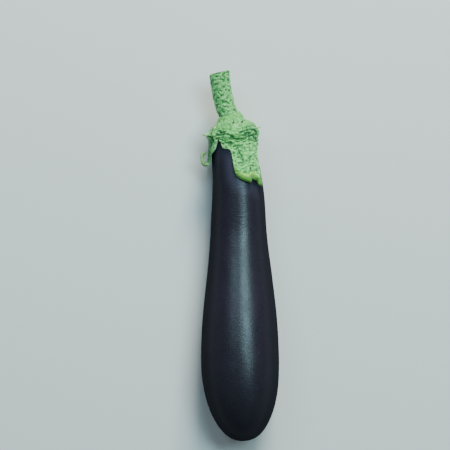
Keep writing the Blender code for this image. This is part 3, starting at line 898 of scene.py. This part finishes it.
def makeCalyx(material):
    # one closed ring-shaped skin: crown, skirt, then back up the lining to the stem's hole
    columns = calyxColumns(calyx["columnSpacing"])
    skirt = skirtRows(columns)
    count = columns.shape[1]
    crownStation, crownRadius, crownDepth, crownNormal = crownRows(skirt)
    wide = np.ones(count)
    crownAngle = columns[0] * np.ones((len(crownDepth), 1))
    crownDepths = crownDepth[:, None] * wide
    crownRelief = calyxReliefAt(crownAngle, crownDepths, 0.0, 1.0)
    crownRelief = crownRelief * smoothStep(crownDepths, crownDepth[0], crownDepth[0] + 2 * millimetre)
    relief = calyxReliefAt(skirt["angle"], skirt["depth"], skirt["lip"], skirt["edgeDistance"])
    relief = relief * skirt["rounded"]
    rising, risen, falling, fallen = np.radians(calyx["curlLean"])
    curl = smoothStep(skirt["lean"], rising, risen)
    curl = curl * (1 - smoothStep(skirt["lean"], falling, fallen))
    relief = relief + calyxRelief["curlFill"] * curl * skirt["rounded"]
    outer = calyx["outerShare"] * skirt["wall"] * skirt["rounded"] + relief
    inner = (1 - calyx["outerShare"]) * skirt["wall"] * skirt["rounded"]
    sine, cosine = np.sin(skirt["lean"]), np.cos(skirt["lean"])

    crownPlain = crownRadius[:, None] - crownOffset(crownStation[:, None], crownAngle)
    crownSkin = (
        crownStation[:, None] + crownNormal[0][:, None] * crownRelief,
        crownPlain + crownNormal[1][:, None] * crownRelief,
        crownAngle,
    )
    skirtSkin = (skirt["station"] + outer * sine, skirt["middle"] + outer * cosine, skirt["angle"])
    rows = np.linspace(0, len(skirt["depth"]) - 2, calyx["liningRows"])
    rows = np.unique(rows.round().astype(int))[::-1]
    lining = (
        (skirt["station"] - inner * sine)[rows],
        (skirt["middle"] - inner * cosine)[rows],
        skirt["angle"][rows],
    )
    collarRadius = calyx["crown"][0][1]
    hole = collarRadius + calyx["holeGap"]
    way = np.linspace(0, 1, calyx["underRows"] + 1)[1:, None]
    search = np.linspace(*calyx["holeSearch"], 40)
    reach = np.interp(hole, fruitProfile(search), search)
    underStation = calyx["shoulderStation"] + (reach - calyx["shoulderStation"]) * way
    under = (
        underStation + 1.5 * calyx["gap"] * way,
        np.maximum(fruitProfile(underStation) + calyx["gap"], hole) * wide,
        columns[0] * np.ones(way.shape),
    )
    collar = (
        np.array(calyx["collarStations"])[:, None],
        np.array([[hole], [collarRadius - calyx["collarEdge"]]]),
        columns[0] * np.ones((2, 1)),
    )
    parts = [crownSkin, skirtSkin, lining, under, collar]
    station, radius, angle = [
        np.concatenate([np.broadcast_arrays(*part)[i] for part in parts]) for i in range(3)
    ]
    inside = len(way) + 2
    hidden = np.zeros((len(rows) + inside, count))
    scale = calyxRelief["foldHeight"]
    crownZero = np.zeros(crownAngle.shape)
    turned = abs(turnBetween(skirt["angle"], calyx["shadeAngle"]))
    aside = 1 - smoothStep(turned, *np.radians(calyx["shadeReach"]))
    shade = calyx["shadeShare"] * aside * smoothStep(skirt["depth"], *calyx["shadeTop"])
    shade = shade * (1 - smoothStep(skirt["depth"], *calyx["shadeBottom"]))
    layers = dict(
        relief=np.concatenate([crownRelief / scale, relief / scale, hidden]),
        lip=np.concatenate([
            crownZero, skirt["lip"], np.maximum(skirt["lip"], curl)[rows], hidden[:inside],
        ]),
        lowness=np.concatenate([
            smoothStep(crownDepths, 0, calyx["crownFade"]),
            smoothStep(skirt["depth"], 0, calyx["crownFade"]),
            hidden + 1,
        ]),
        edgeDistance=np.concatenate([
            crownZero + 1, skirt["edgeDistance"], skirt["edgeDistance"][rows], hidden[:inside] + 1,
        ]),
        shade=np.concatenate([
            crownZero,
            shade + (calyx["curlShade"] - shade) * curl,
            shade[rows],
            hidden[:inside] + calyx["hiddenShade"],
        ]),
        thorn=np.zeros(station.shape),
        thornTip=np.zeros(station.shape),
    )
    points = roundSpine(station, radius, angle)
    faces = [ringFaces(len(station), count, loop=True)[:, ::-1]]
    return meshPiece("eggplantCalyx", points, faces, material, layers, "calyx")


# The prickles

def makePrickles(material):
    # each is a cone with a flared foot, (1 - t)^0.9 wide plus a short bell at its root, and
    # its axis hooks over with the square of t
    allPoints, allFaces, allTips = [], [], []
    rings, sides = prickle["rings"], prickle["sides"]
    stations, radii = np.array(calyx["crown"][::-1]).T
    for degrees, depth, length, lean, brown in prickle["each"]:
        station = calyx["shoulderStation"] - depth
        swelling = 1 - smoothStep(depth, 0, calyx["shoulderReach"])
        wall = calyx["wall"] + (calyx["shoulderWall"] - calyx["wall"]) * swelling
        surface = fruitProfile(station) + calyx["gap"] + wall
        angle = math.radians(degrees)
        if depth < 0:
            surface = np.interp(station, stations, radii) - crownOffset(station, angle)
        foot = roundSpine(station, surface - prickle["root"], angle)
        axis = roundSpine(station, surface + length, angle) - foot + (0, lean * length, 0)
        reach = np.linalg.norm(axis)
        axis = axis / reach
        side = np.cross(axis, (0.0, 1.0, 0.0))
        side /= np.linalg.norm(side)
        other = np.cross(axis, side)
        t = np.linspace(0, 1, rings)[:, None]
        turn = np.arange(sides) * math.tau / sides
        size = min(1.0, length / (0.8 * prickle["longest"]))
        flare = prickle["flareShare"] * bell(t, 0, prickle["flareReach"])
        wide = prickle["radius"] * size * (prickle["coneShare"] * (1 - t) ** 0.9 + flare)
        wide[-1] = prickle["tipRadius"]
        middle = foot + axis * reach * t - other * prickle["hook"] * length * t**2
        ring = np.cos(turn)[:, None] * side + np.sin(turn)[:, None] * other
        points = middle[:, None, :] + wide[:, :, None] * ring[None]
        start = sum(len(part) for part in allPoints)
        tip = (foot + axis * reach - other * prickle["hook"] * length)[None]
        allPoints.append(np.concatenate([points.reshape(-1, 3), foot[None], tip]))
        allFaces += closedTube(rings, sides, start)
        browning = np.repeat(smoothStep(t, *prickle["brownReach"]), sides, axis=1)
        allTips.append(brown * np.append(browning, [0.0, 1.0]))
    tips = np.concatenate(allTips)
    layers = dict(
        relief=tips * 0,
        lip=tips * 0,
        lowness=tips * 0 + 0.4,
        edgeDistance=tips * 0 + 1,
        thorn=tips * 0 + 0.8,
        thornTip=tips,
        shade=tips * 0,
    )
    return meshPiece("calyxPrickles", np.concatenate(allPoints), allFaces, material, layers)


# The stem

stem = dict(
    radius=7.2 * millimetre,
    cutRadius=7.5 * millimetre,
    rootStation=0.2366,
    cutStation=0.273,
    ribs=5,
    ribTurn=1.2,  # in radians from root to cut
    ribShare=0.03,
    knobHeight=0.60 * millimetre,
    knobSize=2.5 * millimetre,
    broadKnobSize=4.5 * millimetre,
    wrinkleSize=1.2 * millimetre,
    knobsEnd=0.985,  # share of the length from which the knobs get lower
    cutSlant=1.2 * millimetre,
    slantFrom=0.7,
    slantTurn=0.6,
    cutBevel=0.5 * millimetre,
    bevelShare=0.014,
    cutSink=0.35 * millimetre,
    rings=230,
    sides=190,
    faceRings=14,
)


def makeStem(material):
    # a tube round the spine: five soft ribs that turn slowly, knobs and wrinkles from noise
    # that is stretched round it, and a slanting cut closed by smaller and smaller rings
    share = np.linspace(0, 1, stem["rings"])[:, None]
    angle = (np.arange(stem["sides"]) * math.tau / stem["sides"])[None, :] + 0 * share
    station = stem["rootStation"] + (stem["cutStation"] - stem["rootStation"]) * share
    ribs = stem["ribShare"] * np.cos(stem["ribs"] * angle + stem["ribTurn"] * share)
    size = stem["radius"] + (stem["cutRadius"] - stem["radius"]) * share**2
    around = stem["radius"] * np.stack([np.sin(angle), np.cos(angle)], axis=-1)
    flat = np.concatenate([around, (station + 0 * angle)[..., None]], axis=-1)
    warped = flat + 1.2 * millimetre * gradientNoise(flat, 5 * millimetre, 31)[..., None]
    knobs = pitted(gradientNoise(warped * (1, 1, 1.3), stem["knobSize"], 32))
    knobs += 0.5 * gradientNoise(warped, stem["broadKnobSize"], 35)
    knobs += 0.3 * layeredNoise(flat, stem["wrinkleSize"], 2, 33)
    relief = stem["knobHeight"] * knobs * (0.4 + 0.6 * smoothStep(share, 1, stem["knobsEnd"]))
    toBevel = 1 - np.clip((1 - share) / stem["bevelShare"], 0, 1)
    bevel = stem["cutBevel"] * (1 - np.sqrt(1 - toBevel**2))
    radius = size * (1 + ribs) + relief - bevel
    slanting = smoothStep(share, stem["slantFrom"], 1)
    slant = stem["cutSlant"] * slanting * np.sin(angle + stem["slantTurn"])
    side = roundSpine(station + slant, radius, angle)

    inward = np.linspace(1, 0, stem["faceRings"] + 1)[1:-1, None]
    faceRadius = radius[-1] * inward
    faceSlant = slant[-1] * inward
    sunk = stem["cutSink"] * (1 - inward**2)
    faceAngle = angle[:1] + 0 * inward
    across, up = faceRadius * np.sin(faceAngle), faceRadius * np.cos(faceAngle)
    rough = np.stack([across, up, 0 * faceRadius], axis=-1)
    grain = 0.08 * millimetre * gradientNoise(rough, 0.9 * millimetre, 34)
    face = roundSpine(stem["cutStation"] + faceSlant - sunk + grain, faceRadius, faceAngle)
    ends = np.array([stem["rootStation"], stem["cutStation"] - stem["cutSink"]])
    poles = roundSpine(ends, 0.0, 0.0)
    points = np.concatenate([side.reshape(-1, 3), face.reshape(-1, 3), poles])
    faces = closedTube(stem["rings"] + len(inward), stem["sides"])
    faceOnes = np.ones(faceRadius.shape)
    cut = np.concatenate([smoothStep(share, 0.992, 1) + 0 * angle, faceOnes])
    layers = dict(
        relief=np.append(np.concatenate([relief / stem["knobHeight"], 0 * faceOnes]), [0.0, 0.0]),
        cut=np.append(cut, [0.0, 1.0]),
        cutRadius=np.append(np.concatenate([1 + 0 * angle, inward * faceOnes]), [1.0, 0.0]),
    )
    return meshPiece("eggplantStem", points, faces, material, layers, "stem")


# Floor, lights and camera

stage = dict(
    floorSize=6.0,
    floorColour=(0.72, 0.72, 0.70),
    worldColour=(0.66, 0.68, 0.68),
    worldStrength=0.16,
    lights=[  # name, place, target, size, power in watts, tint, roll in degrees
        ("rightStreak", (0.41, 0.53, 1.50), (0, 0, 0.03), (0.40, 1.00), 21, (0.54, 0.90, 1.00), 50),
        ("leftStreak", (-0.62, 0.78, 1.50), (0, 0, 0.03), (0.70, 0.42), 6.6, (0.52, 0.82, 1.00), 0),
        ("stemSide", (0.32, 1.72, 0.95), (0, 0.10, 0.03), (0.60, 0.60), 52, (1.00, 0.98, 0.90), 0),
    ],
)


def makeFloor():
    # a plain pale floor at z = 0
    half = stage["floorSize"] / 2
    corners = [(-half, -half, 0), (half, -half, 0), (half, half, 0), (-half, half, 0)]
    mesh = bpy.data.meshes.new("floor")
    mesh.from_pydata(corners, [], [(0, 1, 2, 3)])
    finish = Recipe("floorFinish", Roughness=0.9)
    finish.feed("Base Color", colour(stage["floorColour"]))
    mesh.materials.append(finish.material)
    floor = bpy.data.objects.new("floor", mesh)
    bpy.context.scene.collection.objects.link(floor)


def areaLight(name, place, target, size, power, tint, roll):
    # a rectangle of light that faces its target, long side along y, rolled by some degrees
    light = bpy.data.lights.new(name, "AREA")
    light.shape = "RECTANGLE"
    light.size, light.size_y = size
    light.energy = power
    light.color = tint
    lamp = bpy.data.objects.new(name, light)
    lamp.location = place
    away = np.array(place, float) - np.array(target, float)
    away /= np.linalg.norm(away)
    across = np.cross((0.0, 1.0, 0.0), away)
    across /= np.linalg.norm(across)
    lengthwise = np.cross(away, across)
    sine, cosine = math.sin(math.radians(roll)), math.cos(math.radians(roll))
    across, lengthwise = cosine * across + sine * lengthwise, cosine * lengthwise - sine * across
    turn = np.stack([across, lengthwise, away], axis=1)
    lamp.rotation_mode = "QUATERNION"
    lamp.rotation_quaternion = Matrix(turn.tolist()).to_quaternion()
    bpy.context.scene.collection.objects.link(lamp)


def makeLights():
    # two soft panels above and towards the stem draw the two streaks down the fruit, and a
    # third one low beyond the stem rakes across the calyx's folds
    for light in stage["lights"]:
        areaLight(*light)
    world = bpy.data.worlds.new("softRoom")
    world.use_nodes = True
    background = world.node_tree.nodes["Background"]
    background.inputs["Color"].default_value = (*stage["worldColour"], 1.0)
    background.inputs["Strength"].default_value = stage["worldStrength"]
    bpy.context.scene.world = world


camera = dict(
    frameWidth=0.334,  # what the picture spans at the fruit's axis
    lookAt=(-0.0110, 0.0490, 0.0265),
    lens=135.0,
    sensor=36.0,
)


def makeCamera():
    # straight above, with the stem towards the top of the picture
    data = bpy.data.cameras.new("fromAbove")
    data.lens = camera["lens"]
    data.sensor_width = camera["sensor"]
    shot = bpy.data.objects.new("fromAbove", data)
    x, y, z = camera["lookAt"]
    shot.location = (x, y, z + camera["frameWidth"] * camera["lens"] / camera["sensor"])
    bpy.context.scene.collection.objects.link(shot)
    bpy.context.scene.camera = shot


print("stage")
makeFloor()
makeLights()
makeCamera()

print("eggplant")
leafMaterial = calyxMaterial()
makeFruit(skinMaterial())
makeCalyx(leafMaterial)
makePrickles(leafMaterial)
makeStem(stemMaterial())

bpy.context.view_layer.update()
